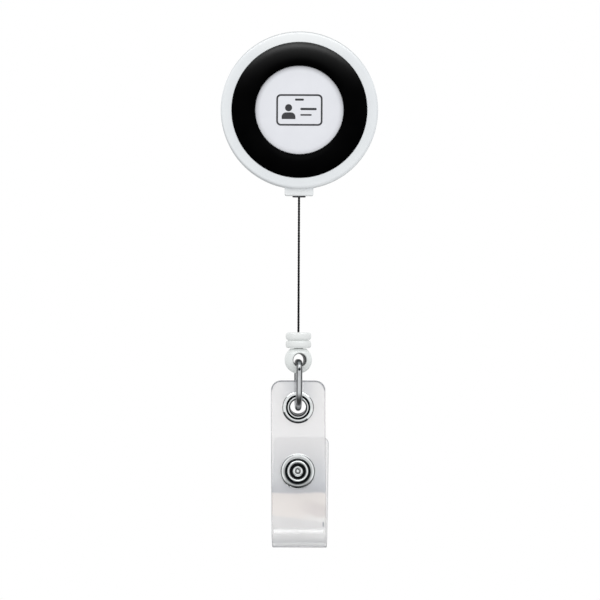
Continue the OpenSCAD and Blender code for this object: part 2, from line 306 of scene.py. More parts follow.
def points_of(obj):
    """Where an object's vertices are, in millimetres."""
    flat = np.zeros(len(obj.data.vertices) * 3, np.float32)
    obj.data.vertices.foreach_get("co", flat)
    return flat.reshape(-1, 3).astype(float) / MM


def set_points(obj, points):
    """Moves an object's vertices to these places, in millimetres."""
    obj.data.vertices.foreach_set("co", (points * MM).astype(np.float32).ravel())
    obj.data.update()


def set_values(obj, name, values):
    """Stores one number for each vertex."""
    layer = obj.data.attributes.get(name) or obj.data.attributes.new(name, "FLOAT", "POINT")
    layer.data.foreach_set("value", np.asarray(values, np.float32))


def bend_between(obj, body_a, body_b, start, end, shares):
    """Blends a piece over a joint, with its own share of body_b for each vertex."""
    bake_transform(obj, body_a, body_b, start=Vector(start) * MM, end=Vector(end) * MM)
    set_values(obj, "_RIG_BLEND", shares)


# ---- Material helpers ----

def is_socket(value):
    return isinstance(value, bpy.types.NodeSocket)


def add(kind, inputs=None, tree=None, **settings):
    """A shader node with its settings, and its inputs linked or set. It goes in the
    tree that its linked inputs are in, or else in the tree given."""
    inputs = inputs or {}
    tree = tree or next(value.id_data for value in inputs.values() if is_socket(value))
    made = tree.nodes.new("ShaderNode" + kind)
    for key, value in settings.items():
        setattr(made, key, value)
    for key, value in inputs.items():
        if is_socket(value):
            tree.links.new(value, made.inputs[key])
        else:
            made.inputs[key].default_value = value
    return made


def calc(operation, a, b=0.0):
    """A sum on one or two values, of which each is a number or a socket."""
    return add("Math", {0: a, 1: b}, operation=operation).outputs[0]


def product(a, b):
    return calc("MULTIPLY", a, b)


def length(a, b):
    """How long the arrow (a, b) is."""
    return calc("SQRT", calc("ADD", product(a, a), product(b, b)))


def split(vector):
    """The x, y and z of a vector."""
    return add("SeparateXYZ", {0: vector}).outputs


def scaled(value, low, high, to_low=0.0, to_high=1.0, smooth=True):
    """Maps a value's range to another, and holds it at the ends."""
    inputs = {"Value": value, "From Min": low, "From Max": high, "To Min": to_low, "To Max": to_high}
    kind = "SMOOTHSTEP" if smooth else "LINEAR"
    return add("MapRange", inputs, interpolation_type=kind).outputs[0]


def ramp(value, low, high, to_low=0.0, to_high=1.0):
    """The same, with no rounding at the ends."""
    return scaled(value, low, high, to_low, to_high, smooth=False)


def past(value, place, width):
    """0 before a place and 1 after it, or the other way round for a width below 0."""
    return scaled(value, place - width / 2, place + width / 2)


def between(value, start, start_width, end, end_width):
    """1 between two places, and 0 outside them."""
    leaving = calc("SUBTRACT", 1.0, past(value, end, end_width))
    return product(past(value, start, start_width), leaving)


def mixed(share, a, b):
    """Colour a turning into colour b."""
    a = a if is_socket(a) else (*a, 1)
    b = b if is_socket(b) else (*b, 1)
    return add("Mix", {0: share, 6: a, 7: b}, data_type="RGBA").outputs[2]


def noise(place, scale, detail=2.0, rough=0.5):
    """Noise whose scale is in features per millimetre."""
    inputs = {"Vector": place, "Scale": scale, "Detail": detail, "Roughness": rough}
    return add("TexNoise", inputs).outputs[0]


def bumped(height, depth, normal=None):
    """A bump whose depth is in millimetres."""
    inputs = {"Height": height, "Distance": depth * MM, "Strength": 1.0}
    if normal is not None:
        inputs["Normal"] = normal
    return add("Bump", inputs).outputs[0]


def attribute(place, name):
    """What the mesh stores under a name, for the material that place is in."""
    return add("Attribute", tree=place.id_data, attribute_name=name).outputs["Fac"]


def stretched(place, factors):
    """Places whose x, y and z are each multiplied."""
    return add("VectorMath", {0: place, 1: factors}, operation="MULTIPLY").outputs[0]


def surface_of(material):
    """The way its surface faces and how high it is, in metres."""
    shape = add("NewGeometry", tree=material.node_tree).outputs
    return shape["Normal"], split(shape["Position"])[2]


def shader_of(material):
    return next(n for n in material.node_tree.nodes if n.type == "BSDF_PRINCIPLED")


def colour_of(material):
    return shader_of(material).inputs["Base Color"].links[0].from_socket


def start_material(name):
    """An empty material, and places in it in millimetres."""
    material = bpy.data.materials.new(name)
    material.use_nodes = True
    at = add("TexCoord", tree=material.node_tree).outputs["Object"]
    place = add("VectorMath", {0: at, "Scale": 1 / MM}, operation="SCALE").outputs[0]
    return material, place


def connect(material, **values):
    """Links or sets the inputs of a material's shader, named with _ for a space."""
    shader = shader_of(material)
    for key, value in values.items():
        socket = shader.inputs[key.replace("_", " ")]
        if is_socket(value):
            shader.id_data.links.new(value, socket)
        elif isinstance(value, tuple) and len(value) == 3 and socket.type == "RGBA":
            socket.default_value = (*value, 1)
        else:
            socket.default_value = value
    return material


def moulded(name, colour, shade, roughness, grain=9.0, depth=0.0004, **extra):
    """Moulded plastic: cloudy colour, uneven gloss and a fine mould texture."""
    material, place = start_material(name)
    cloud = scaled(noise(place, 0.22, 3.0), 0.35, 0.65)
    gloss = scaled(noise(place, 1.4, 4.0), 0.3, 0.7, roughness * 0.85, roughness * 1.2)
    texture = noise(place, grain, 3.0, 0.6)
    return connect(
        material,
        Base_Color=mixed(cloud, colour, shade),
        Roughness=gloss,
        Normal=bumped(texture, depth),
        **extra,
    )


def housing_plastic(name, colour, shade):
    """The housing's plastic, with painted light: a painted highlight at its top and
    on its nozzle, and painted shade where its front edge turns up, or down to the
    left, away from the studio's light."""
    lit_colour, lit_share = (0.95, 0.96, 0.955), 0.55
    edge_shade_colour, low_share, high_share = (0.25, 0.26, 0.27), 0.45, 0.55
    down_left = (-0.6, 0.0, -0.8)
    material = moulded(name, colour, shade, 0.2)
    plain = colour_of(material)
    facing, height = surface_of(material)
    toward = add("VectorMath", {0: facing, 1: down_left}, operation="DOT_PRODUCT")
    _, rearward, upward = split(facing)
    # painted shade on the front edge where it faces up or down to the left
    low_edge_shade = scaled(toward.outputs["Value"], 0.38, 0.9, 0.0, low_share)
    high_edge_shade = scaled(upward, 0.3, 0.85, 0.0, high_share)
    in_front = scaled(rearward, -0.02, -0.3, 0.12, 1.0)
    edge = product(calc("MAXIMUM", low_edge_shade, high_edge_shade), in_front)
    # painted highlight at the top and on the nozzle
    top = scaled(height, 0.6 * REEL_R * MM, 0.97 * REEL_R * MM)
    nozzle = scaled(height, (0.1 - REEL_R) * MM, (-0.3 - REEL_R) * MM)
    lit = product(calc("MAXIMUM", top, nozzle), lit_share)
    lighter = mixed(lit, plain, lit_colour)
    return connect(material, Base_Color=mixed(edge, lighter, edge_shade_colour))


def ring_plastic(name):
    """Deep black plastic with a painted highlight: its shine is masked to where it
    rolls up towards the light near its top.
    """
    material = moulded(name, (0.0006, 0.0006, 0.0007), (0.001, 0.001, 0.0011), 0.36, 12.0, 0.0006)
    facing, height = surface_of(material)
    upward = split(facing)[2]
    # painted highlight: specular strength set by slope and by height, rising towards the top
    crown = ramp(upward, -0.42, 0.6, 0.01, 0.5)
    outer = scaled(upward, 0.15, 0.32, 0.0, 0.13)
    off_edge = scaled(upward, 0.3, 0.5, 1.0, 0.3)
    gloss = product(calc("ADD", crown, outer), off_edge)
    climb = ramp(height, 0.0, 0.96 * RING_R * MM, 0.14, 1.0)
    near_top = calc("MAXIMUM", calc("POWER", climb, 3.0), 0.04)
    return connect(material, Specular_IOR_Level=product(gloss, near_top))


def ball_plastic(name, colour, shade):
    """The ball's plastic: as moulded, and dark with a painted shadow down its cross hole."""
    shadow, strength = (0.02, 0.021, 0.022), 0.93
    material = moulded(name, colour, shade, 0.3)
    plain = colour_of(material)
    at = add("TexCoord", tree=material.node_tree).outputs["Object"]
    middle = Vector((0, PART_Y, BALL_Z)) * MM
    centred = add("Mapping", {"Vector": at, "Location": -middle}).outputs[0]
    straight = {"Vector": centred, "Angle": -BALL_TURN}
    x, y, z = split(add("VectorRotate", straight, rotation_type="Z_AXIS").outputs[0])
    # painted shadow inside the cross hole, by distance from its axis and by depth
    inside = scaled(length(x, z), (BALL_HOLE + 0.22) * MM, (BALL_HOLE + 0.02) * MM)
    depth = scaled(calc("ABSOLUTE", y), 2.55 * MM, 2.1 * MM)
    share = product(product(inside, depth), strength)
    return connect(material, Base_Color=mixed(share, plain, shadow))


def plated(name, colour, tarnish, roughness, stretch=(1.0, 1.0, 1.0), scratch=0.0001):
    """Plated or polished metal: faint tarnish, uneven polish, drawn scratches, and
    painted shade and painted dark reflections where the mesh marks them."""
    painted_shade_colour = (0.012, 0.016, 0.018)
    material, place = start_material(name)
    patch = scaled(noise(place, 0.7, 4.0), 0.42, 0.7)
    lines = noise(stretched(place, stretch), 5.0, 4.0, 0.7)
    clean = mixed(patch, colour, tarnish)
    return connect(
        material,
        # painted shade and painted dark reflections, from the mesh's stored values
        Base_Color=mixed(scaled(attribute(place, "groove"), 0.0, 1.0), clean, painted_shade_colour),
        Metallic=1.0,
        Roughness=scaled(lines, 0.3, 0.7, roughness * 0.85, roughness * 1.2),
        Normal=bumped(lines, scratch),
    )


def braided(name, colour, light):
    """Nylon yarn: fine filaments along each strand, and a soft sheen."""
    along_strand = (1.0, 1.0, 0.15)
    material, place = start_material(name)
    fibre = noise(stretched(place, along_strand), 60.0, 2.0)
    return connect(
        material,
        Base_Color=mixed(scaled(fibre, 0.4, 0.7), colour, light),
        Roughness=0.62,
        Specular_IOR_Level=0.2,
        Normal=bumped(fibre, 0.004),
    )


def printed(name, colour, shade):
    """Satin label stock: very fine paper tooth, and a painted shadow under the
    ring's lip, strongest at its top.
    """
    lip_shade = tuple(0.5 * c for c in shade)
    lip_reach = 1.1
    material, place = start_material(name)
    tooth = noise(place, 14.0, 3.0, 0.7)
    cloud = scaled(noise(place, 0.3, 2.0), 0.3, 0.7)
    plain = mixed(cloud, colour, shade)
    x, _, z = split(place)
    # painted shadow near the label's rim, stronger at the top
    rim = scaled(length(x, z), LABEL_R - lip_reach, LABEL_R)
    upper = scaled(z, -LABEL_R, LABEL_R, 0.25, 0.75)
    return connect(
        material,
        Base_Color=mixed(product(rim, upper), plain, lip_shade),
        Roughness=scaled(tooth, 0.3, 0.7, 0.42, 0.55),
        Specular_IOR_Level=0.35,
        Normal=bumped(tooth, 0.0015),
    )


# Places of the painted shade, reflections and highlight in the vinyl's colour, in millimetres along the
# strip
PRESSED_END = 23.0  # end of the stretch held by the snap
SLANT_START = 28.2  # slanting start of the lower stretch
BRIGHT_LINE = (30.35, 0.5, 31.15, 0.6)  # its two sides, and how soft each is


def vinyl_layers(along, across, wavy):
    """Painted light in the vinyl's colour, each layer over the one before: where it is,
    how strong it is and its colour. Places are in millimetres from the strip's top and
    from its middle. The layers are a painted shadow of the link, painted shade round
    the snap and fold, painted reflections where the strip bulges, and painted highlights."""
    slanted = calc("SUBTRACT", wavy, product(across, 0.13))
    on_right = past(across, 1.5, 5.0)
    link_shadow = product(between(across, -2.7, 3.2, 2.7, 3.2), past(along, 4.4, -2.5))
    snap_shade = between(wavy, 17.5, 6.0, PRESSED_END, 0.7)
    to_right = scaled(across, -4.5, 4.5, 0.25, 0.6)
    shade_band = between(wavy, 21.0, 3.0, PRESSED_END, 0.7)
    lower = past(slanted, SLANT_START, 0.5)
    warm = product(past(wavy, PRESSED_END, 0.7), calc("SUBTRACT", 1.0, lower))
    dim_patch = product(between(slanted, 24.6, 1.6, 27.2, 1.6), on_right)
    gleam = product(between(slanted, 27.3, 0.8, SLANT_START, 0.5), on_right)
    by_edge = between(across, 4.85, 0.2, 5.1, 0.15)
    dark_dot = product(between(along, 28.9, 0.3, 29.8, 0.4), by_edge)
    return [
        # painted shadow of the link
        (link_shadow, 0.75, (0.80, 0.81, 0.83)),
        # painted shade round the snap, in three rows
        (past(wavy, 14.0, 5.0), 0.4, (0.87, 0.875, 0.895)),
        (snap_shade, to_right, (0.78, 0.80, 0.83)),
        (shade_band, 0.55, (0.62, 0.63, 0.66)),
        # painted reflections where the strip bulges
        (warm, 1.0, (1.0, 0.955, 0.93)),
        (dim_patch, 0.7, (0.84, 0.80, 0.79)),
        (lower, 0.9, (0.93, 0.92, 0.92)),
        # painted highlights and painted shade round the fold
        (between(along, *BRIGHT_LINE), 1.0, (1.0, 1.0, 1.0)),
        (gleam, 0.9, (1.0, 0.99, 0.985)),
        (past(along, 32.3, 2.2), 0.9, (0.76, 0.765, 0.775)),
        (between(along, 33.15, 0.3, 33.7, 0.3), 0.9, (1.0, 1.0, 1.0)),
        (past(along, 33.9, 0.3), 0.8, (0.62, 0.62, 0.635)),
        # a small dark dot by the right edge near the fold
        (dark_dot, 0.9, (0.36, 0.38, 0.42)),
    ]


def cut_edge(along, across, behind, rim):
    """How strong the painted shade along the strip's cut edge is: most along its top,
    and faint where the flap is close behind it."""
    at_top = past(along, 2.1, -1.0)
    edge = past(calc("SUBTRACT", rim, product(at_top, 0.16)), 0.14, -0.2)
    backed = product(past(across, 4.0, 1.0), past(along, 13.0, 1.0))
    backed = calc("SUBTRACT", backed, behind)
    strength = calc("MAXIMUM", at_top, scaled(backed, 0.0, 1.0, 0.6, 0.2))
    return product(edge, strength)


def vinyl_tone(place):
    """The strip's colour with its painted light, how clear it is and where a painted
    highlight glints, from what its mesh says of each point: the distances along it,
    across it and to its outline."""
    names = ("along", "across", "behind", "rim")
    along, across, behind, rim = (attribute(place, name) for name in names)
    sway = ramp(noise(place, 0.25, 2.0), 0.2, 0.8, -0.5, 0.5)
    wavy = calc("ADD", along, sway)
    tone = (0.955, 0.945, 0.95)
    for share, strength, colour in vinyl_layers(along, across, wavy):
        tone = mixed(product(share, strength), tone, colour)
    tone = mixed(behind, tone, (0.95, 0.95, 0.955))
    # painted shade along the cut edge
    tone = mixed(cut_edge(along, across, behind, rim), tone, (0.38, 0.39, 0.41))
    glint = product(between(along, *BRIGHT_LINE), past(rim, 0.45, 0.3))
    clear = calc("MAXIMUM", glint, product(behind, 0.4))
    return tone, ramp(clear, 0.0, 1.0, 0.6, 0.97), glint


def milky_vinyl(name):
    """Milky clear vinyl: see-through, and greyer where it is doubled or pressed, from
    painted shade in its colour.
    """
    # painted highlight: the bright line above the fold glows a little
    glow = 0.08
    material, place = start_material(name)
    ripple = noise(place, 0.35, 2.0)
    fine = noise(place, 7.0, 2.0)
    tone, clear, glint = vinyl_tone(place)
    return connect(
        material,
        Base_Color=tone,
        Roughness=scaled(fine, 0.3, 0.7, 0.04, 0.08),
        IOR=1.45,
        Transmission_Weight=clear,
        Emission_Color=(1.0, 1.0, 1.0),
        Emission_Strength=product(glint, glow),
        Normal=bumped(ripple, 0.02, bumped(fine, 0.0001)),
    )


def make_materials():
    """Every material by its name, from its kind and the settings of that kind."""
    nickel = (0.74, 0.755, 0.76)
    dull = (0.66, 0.67, 0.675)
    kinds = {
        "housing_white": (housing_plastic, (0.80, 0.82, 0.835), (0.78, 0.80, 0.82)),
        "ring_black": (ring_plastic,),
        "label_white": (printed, (0.80, 0.805, 0.845), (0.785, 0.79, 0.83)),
        "guide_dark": (moulded, (0.06, 0.06, 0.065), (0.045, 0.045, 0.05), 0.35),
        "spool_grey": (moulded, (0.62, 0.63, 0.64), (0.57, 0.58, 0.59), 0.42),
        "spring_steel": (plated, (0.014, 0.015, 0.018), (0.01, 0.011, 0.013), 0.4, (1, 8, 1)),
        "retainer_tan": (moulded, (0.60, 0.48, 0.30), (0.50, 0.38, 0.22), 0.75, 5.0, 0.004),
        "cord_black": (braided, (0.0025, 0.0025, 0.003), (0.008, 0.008, 0.009)),
        "stop_white": (moulded, (0.79, 0.805, 0.795), (0.77, 0.785, 0.775), 0.25),
        "ball_white": (ball_plastic, (0.80, 0.825, 0.81), (0.78, 0.80, 0.79)),
        "nickel": (plated, nickel, dull, 0.09),
        "wire": (plated, (0.62, 0.635, 0.645), (0.56, 0.57, 0.575), 0.32, (4.0, 4.0, 0.5), 0.0003),
        "brass": (plated, (0.72, 0.53, 0.24), (0.55, 0.38, 0.16), 0.25),
        "clip_steel": (plated, nickel, (0.71, 0.72, 0.725), 0.22, (12.0, 1.0, 0.4), 0.0004),
        "vinyl": (milky_vinyl,),
        "print_ink": (moulded, (0.02, 0.02, 0.025), (0.03, 0.03, 0.035), 0.5, 20.0, 0.001),
    }
    return {name: kind(name, *settings) for name, (kind, *settings) in kinds.items()}


# ---- Reel ----

CAVITY_R = 14.6  # room inside the housing
SEAT_R = 13.79  # recess for ring and label
LIP_R = 15.2  # lip that centres one cover in the other
POST_R = 3.0  # the spool's post
POST_H = 2.4
FLOOR_H = -3.6  # inside of the back cover
GROOVE = 0.12  # chamfers that meet at the parting line
NOZZLE_W = 2.925  # half the nozzle's width
NOZZLE_D = 2.6  # half its depth
GUIDE_R = 0.9  # the grommet's barrel
GUIDE_FLANGE_R = 1.35
GUIDE_BORE_R = 0.45
CLIP_T = 0.5  # thickness of the clip's strip
CLIP_BEND_R = 1.3  # radius of its top bend, at mid-thickness


def bored_nozzle(cover, side):
    """Adds a cover's half of the nozzle, and bores it for the cord's grommet."""
    far = side * NOZZLE_D + PART_Y
    low_y, high_y = sorted((far, PART_Y))
    nozzle = block("nozzle", (-NOZZLE_W, low_y, NOZZLE_Z), (NOZZLE_W, high_y, 0.3 - CAVITY_R), 0.34)
    carve(cover, nozzle, "UNION")
    bore = rod("bore", GUIDE_R + 0.02, (0, PART_Y, NOZZLE_Z - 1), (0, PART_Y, 1.6 - CAVITY_R))
    carve(cover, bore)


def make_front_cover():
    plate_h = SEAT_H - 1
    outline = rounded([
        (0, 0.5, 0), (2.1, 0.5, 0.15), (2.1, plate_h, 0), (CAVITY_R, plate_h, 0.2),
        (CAVITY_R, 1.05, 0), (LIP_R + 0.05, 1.05, 0), (LIP_R + 0.05, 0, 0),
        (REEL_R - GROOVE, 0, 0), (REEL_R, GROOVE, 0), (REEL_R, RIM_H, 0.7),
        (SEAT_R, RIM_H, 0.1), (SEAT_R, SEAT_H, 0), (0, SEAT_H, 0),
    ], steps=8)
    cover = lathe("housing_front", outline, PART, segments=192)
    bored_nozzle(cover, -1)
    dress(cover, "housing_white", "reel", ["front_cover"])


def make_back_cover():
    back_h = PAD_H + 0.4
    outline = rounded([
        (1.05, PAD_H, 0.1), (5.5, PAD_H, 0.2), (5.5, back_h, 0.15), (REEL_R, back_h, 1.2),
        (REEL_R, -GROOVE, 0), (REEL_R - GROOVE, 0, 0), (LIP_R, 0, 0), (LIP_R, 1, 0.1),
        (CAVITY_R, 1, 0.1), (CAVITY_R, FLOOR_H, 0.2), (POST_R, FLOOR_H, 0.15),
        (POST_R, POST_H, 0.1), (2.2, POST_H, 0.1), (2.2, FLOOR_H, 0), (1.05, FLOOR_H, 0),
    ], closed=True, steps=8)
    cover = lathe("housing_back", outline, PART, segments=192, closed=True)
    bored_nozzle(cover, 1)
    slot = block("slot", (-6, PART_Y - POST_H - 1, -0.2), (6, PART_Y + 1.6, 0.2), 0.02)
    carve(cover, slot)
    dress(cover, "housing_white", "reel", ["back_cover"])


def make_ring():
    """Domed ring: its crown is an arc between softly rounded edges."""
    inner = LABEL_R + 0.05
    half = (RING_R - inner) / 2
    middle = RING_R - half
    edge_h = RIM_H + 0.1
    rise = CROWN_H - edge_h
    radius = (half * half + rise * rise) / (2 * rise)
    reach = degrees(asin(half / radius))
    crown = arc(middle, CROWN_H - radius, radius, 90 + reach * 0.86, 90 - reach * 0.86, 20)
    inside = [(inner, SEAT_H, 0), (inner, edge_h, 0.14)]
    outside = [(RING_R, edge_h, 0.16), (RING_R, SEAT_H, 0)]
    turned("face_ring", inside + crown + outside, "ring_black", "reel", ["trim_ring"],
           segments=192, steps=6, sharp=50)


def make_label():
    corners = [(0, SEAT_H, 0), (LABEL_R, SEAT_H, 0), (LABEL_R, LABEL_H, 0.12), (0, LABEL_H, 0)]
    turned("face_label", corners, "label_white", "reel", ["label_disc"], segments=160, closed=False)


def flat_shape(name, outline, holes=()):
    """A thin printed shape on the label, from outlines of (x, z)."""
    half_ink = 0.02
    ink_y = PART_Y - LABEL_H - half_ink
    work = bmesh.new()
    edges = []
    for loop in [outline, *holes]:
        verts = [work.verts.new((x * MM, ink_y * MM, z * MM)) for x, z in loop]
        edges += [work.edges.new((a, b)) for a, b in zip(verts, verts[1:] + verts[:1])]
    bmesh.ops.triangle_fill(work, edges=edges, use_beauty=True)
    made = bmesh.ops.extrude_face_region(work, geom=list(work.faces))
    moved = [v for v in made["geom"] if isinstance(v, bmesh.types.BMVert)]
    bmesh.ops.translate(work, verts=moved, vec=(0, 2 * half_ink * MM, 0))
    bmesh.ops.recalc_face_normals(work, faces=work.faces)
    return object_from(work, name)


def rounded_rect(x, z, width, height, radius):
    """Outline of a rectangle about (x, z) with round corners."""
    w, h = width / 2, height / 2
    corners = [(x - w, z - h), (x + w, z - h), (x + w, z + h), (x - w, z + h)]
    return rounded([(*c, radius) for c in corners], closed=True)


def make_print():
    """A plain pictogram of an identity card, in place of any maker's print."""
    card = flat_shape("card", rounded_rect(0, 0, 9.4, 6.4, 0.9), [rounded_rect(0, 0, 8.7, 5.7, 0.6)])
    slot = flat_shape("slot", rounded_rect(0, 2.1, 1.8, 0.42, 0.2))
    head = flat_shape("head", [(x, z) for x, z, _ in arc(-2.2, 0.45, 0.72, 0, 352.5, 47)])
    shoulders = flat_shape("shoulders", rounded([
        (-3.6, -1.85, 0.1), (-0.8, -1.85, 0.1), (-0.8, -0.5, 0.9), (-3.6, -0.5, 0.9),
    ], closed=True))
    long_line = flat_shape("line", rounded_rect(1.85, 0.2, 3.3, 0.45, 0.2))
    short_line = flat_shape("line", rounded_rect(1.35, -1.0, 2.3, 0.32, 0.15))
    art = join("label_print", [card, slot, head, shoulders, long_line, short_line])
    dress(art, "label_white", "reel", finish="print_ink")


def make_grommet():
    """The cord's guide: a barrel between two flanges."""
    low, high = guide_low.z, guide_high.z
    flange = 0.3
    turned("nozzle_grommet", [
        (GUIDE_BORE_R, low, 0.12), (GUIDE_FLANGE_R, low, 0.12), (GUIDE_FLANGE_R, low + flange, 0.04),
        (GUIDE_R, low + flange, 0), (GUIDE_R, high - flange, 0), (GUIDE_FLANGE_R, high - flange, 0.04),
        (GUIDE_FLANGE_R, high, 0.1), (GUIDE_BORE_R, high, 0.1),
    ], "guide_dark", "reel", ["cord_guide"], PART, "Z", 64)


# ---- Belt clip ----

def make_rivet():
    """The clip's rivet, from its flat head inside to its rolled head behind, and the
    washer between reel and clip. Heights run to the front from the parting line."""
    shank_r, head_r, head_t = 1.0, 1.9, 0.5
    back_h = PART_Y - plate_low.y - CLIP_T
    turned("clip_rivet_head", [
        (0, FLOOR_H + head_t, 0), (head_r, FLOOR_H + head_t, 0.2), (head_r, FLOOR_H, 0),
        (shank_r, FLOOR_H, 0), (shank_r, back_h, 0), (2.2, back_h, 0.05), (2.2, back_h - 0.2, 0.12),
        (1.7, back_h - 0.36, 0.3), (0.9, back_h - 0.45, 0.6), (0, back_h - 0.45, 0),
    ], "nickel", "reel", ["clip_rivet"], segments=72, closed=False)
    low, high = back_h + CLIP_T, back_h + CLIP_T + 0.2
    inner, outer, edge = 1.05, 2.8, 0.04
    turned("clip_washer", [
        (inner, low, edge), (outer, low, edge), (outer, high, edge), (inner, high, edge),
    ], "brass", "reel", ["rivet_washer"], segments=72)


def strip(name, stations, half_widths, half_thicks, place, columns=12, edge=0.2):
    """A strip of rounded cross-section. Each station is a distance along it, and
    place(along, across, through) gives the point there."""
    points = []
    across = [2 * k / columns - 1 for k in range(columns + 1)]
    side = [radians(a) for a in (-60, -30, 0, 30, 60)]
    for along, half, thick in zip(stations, half_widths, half_thicks):
        flat = max(half - edge, 0.05)
        loop = [(a * flat, -thick) for a in across]
        loop += [(flat + edge * cos(a), thick * sin(a)) for a in side]
        loop += [(-a * flat, thick) for a in across]
        loop += [(-flat - edge * cos(a), -thick * sin(a)) for a in side]
        points += [place(along, x, t) for x, t in loop]
    count = len(stations)
    return make(name, points, tube_faces(count, len(points) // count))


def end_steps(radius, steps=7):
    """Distances from a rounded end, closer together towards the end."""
    return [radius * (1 - cos(pi / 2 * k / steps)) for k in range(steps + 1)]


def corner_rise(radius, distance):
    """How far a round corner has risen at a distance from where it starts."""
    left = max(radius - distance, 0)
    return sqrt(max(radius * radius - left * left, 0))


def side_path(corners, step=0.4):
    """Even points along a filleted side view, and the length up to each."""
    outline = [Vector(p) for p in rounded(corners, steps=16)]
    fine, lengths = [outline[0]], [0.0]
    for before, after in zip(outline, outline[1:]):
        gap = (after - before).length
        parts = max(1, int(gap / step))
        for k in range(parts):
            fine.append(before.lerp(after, (k + 1) / parts))
            lengths.append(lengths[-1] + gap / parts)
    return np.array(fine), np.array(lengths)


def end_shapes(stations, half, thick, first_corner, last_corner, reach):
    """Half width and half thickness at each station of a strip with round corners and
    edges that are rounded over within a reach of its ends."""
    thinnest = 0.35
    total = stations[-1]
    halves, thicks = [], []
    for along in stations:
        near = min(along, total - along)
        corner = first_corner if along < total / 2 else last_corner
        halves.append(half - corner + corner_rise(corner, near))
        thicks.append(thick / 2 * max(corner_rise(reach, near) / reach, thinnest))
    return halves, thicks


def clip_path(plate_y, bend_y, bend_z):
    """Side view of the clip's middle line, from the plate's foot to the tongue's tip."""
    touch = (tongue_low.y + CLIP_T / 2, -8.0)
    tip = (touch[0] + 1.35, tongue_low.z + CLIP_T / 2)
    arch = arc(bend_y, bend_z, CLIP_BEND_R, 180, 0, 24)
    return side_path([(plate_y, plate_low.z, 0), *arch, (*touch, 1.6), (*tip, 0)])


def make_clip():
    """One bent strip of spring steel, blended from the plate to the tongue."""
    foot_corner, tip_corner, edge = 2.0, 1.6, 0.15
    plate_y = plate_low.y + CLIP_T / 2
    bend_y = plate_y + CLIP_BEND_R
    bend_z = plate_high.z - CLIP_BEND_R - CLIP_T / 2
    path, lengths = clip_path(plate_y, bend_y, bend_z)
    total = lengths[-1]
    turn = np.gradient(path, axis=0)
    turn /= np.linalg.norm(turn, axis=1)[:, None]

    def at(along, across, through):
        y, z = (np.interp(along, lengths, path[:, i]) for i in (0, 1))
        dy, dz = (np.interp(along, lengths, turn[:, i]) for i in (0, 1))
        size = hypot(dy, dz)
        return (across, y + through * dz / size, z - through * dy / size)

    inner = lengths[(lengths > foot_corner) & (lengths < total - tip_corner)]
    tip_steps = {total - d for d in end_steps(tip_corner)}
    stations = sorted(set(end_steps(foot_corner)) | set(inner) | tip_steps)
    halves, thicks = end_shapes(stations, plate_high.x, CLIP_T, foot_corner, tip_corner, edge)
    clip = strip("spring_clip", stations, halves, thicks, at, edge=edge)
    carve(clip, rod("bore", 1.05, (0, plate_y - 1, 0), (0, plate_y + 1, 0)))
    dress(clip, "clip_steel", replaces=["clip_plate", "clip_tongue"])
    _, y, z = points_of(clip).T
    round_bend = np.degrees(np.arctan2(z - bend_z, -(y - bend_y))) / 180
    below = np.where(y < plate_y + CLIP_T / 2 + 0.05, 0.0, 1.0)
    shares = np.clip(np.where(z > bend_z, round_bend, below), 0, 1)
    start, end = (0, plate_y, bend_z), (0, plate_y + 2 * CLIP_BEND_R, bend_z)
    bend_between(clip, "clip", "clip_arm", start, end, shares)


# ---- Cord and ball end ----

def make_cord():
    """A braid of eight strands round a core, from inside the nozzle to the knot."""
    top, bottom = guide_low.z + 0.4, stop_high.z - 1.0
    strands, strand_r = 8, 0.07
    braid_r, core_r, knot_r = 0.16, 0.17, 0.5
    over_under = 0.022  # how far a strand rises over another
    pitch, steps_a_turn = 2.2, 14
    count = int((top - bottom) / pitch * steps_a_turn)
    pieces = [rod("core", core_r, (0, PART_Y, top), (0, PART_Y, bottom), 12)]
    for s in range(strands):
        hand = 1 if s % 2 else -1
        phase = 2 * pi * (s // 2) / (strands / 2)
        path = []
        for k in range(count + 1):
            z = top + (bottom - top) * k / count
            angle = phase + hand * 2 * pi * (top - z) / pitch
            weave = braid_r + over_under * hand * cos(angle * strands / 2)
            path.append((weave * cos(angle), PART_Y + weave * sin(angle), z))
        pieces.append(sweep("strand", path, strand_r, 7))
    half_turn = np.linspace(0, pi, 13)
    profile = [(knot_r * sin(a), knot_r * cos(a)) for a in half_turn]
    pieces.append(lathe("knot", profile, (0, PART_Y, bottom - 0.3), "Z", 24))
    cord = join("pull_cord", pieces)
    dress(cord, "cord_black", replaces=["cord"], sharp=60)
    near, far = guide_low.z, stop_high.z
    shares = np.clip((near - points_of(cord)[:, 2]) / (near - far), 0, 1)
    bend_between(cord, "reel", "cord_end", (0, PART_Y, near), (0, PART_Y, far), shares)


def make_stop():
    """Two rounded bumper rings in one piece, hollow for the knot and the neck."""
    top, bottom, radius = stop_high.z, stop_low.z, stop_high.x
    middle = (top + bottom) / 2
    flat, waist = radius - 0.06, radius - 0.5
    cord_r, neck_r, room_r = 0.4, 0.95, 1.5
    turned("bumper", [
        (cord_r, top, 0.12), (flat, top, 0.55), (radius, middle + 0.8, 0.3),
        (flat, middle + 0.14, 0.5), (waist, middle + 0.06, 0.05),
        (waist, middle - 0.06, 0.05), (flat, middle - 0.14, 0.5),
        (radius, middle - 0.8, 0.3), (flat, bottom, 0.55), (neck_r, bottom, 0.08),
        (neck_r, bottom + 0.5, 0), (room_r, bottom + 0.5, 0.1), (room_r, top - 0.8, 0.2),
        (cord_r, top - 0.8, 0),
    ], "stop_white", "cord_end", ["cord_stop"], axis="Z", steps=8)


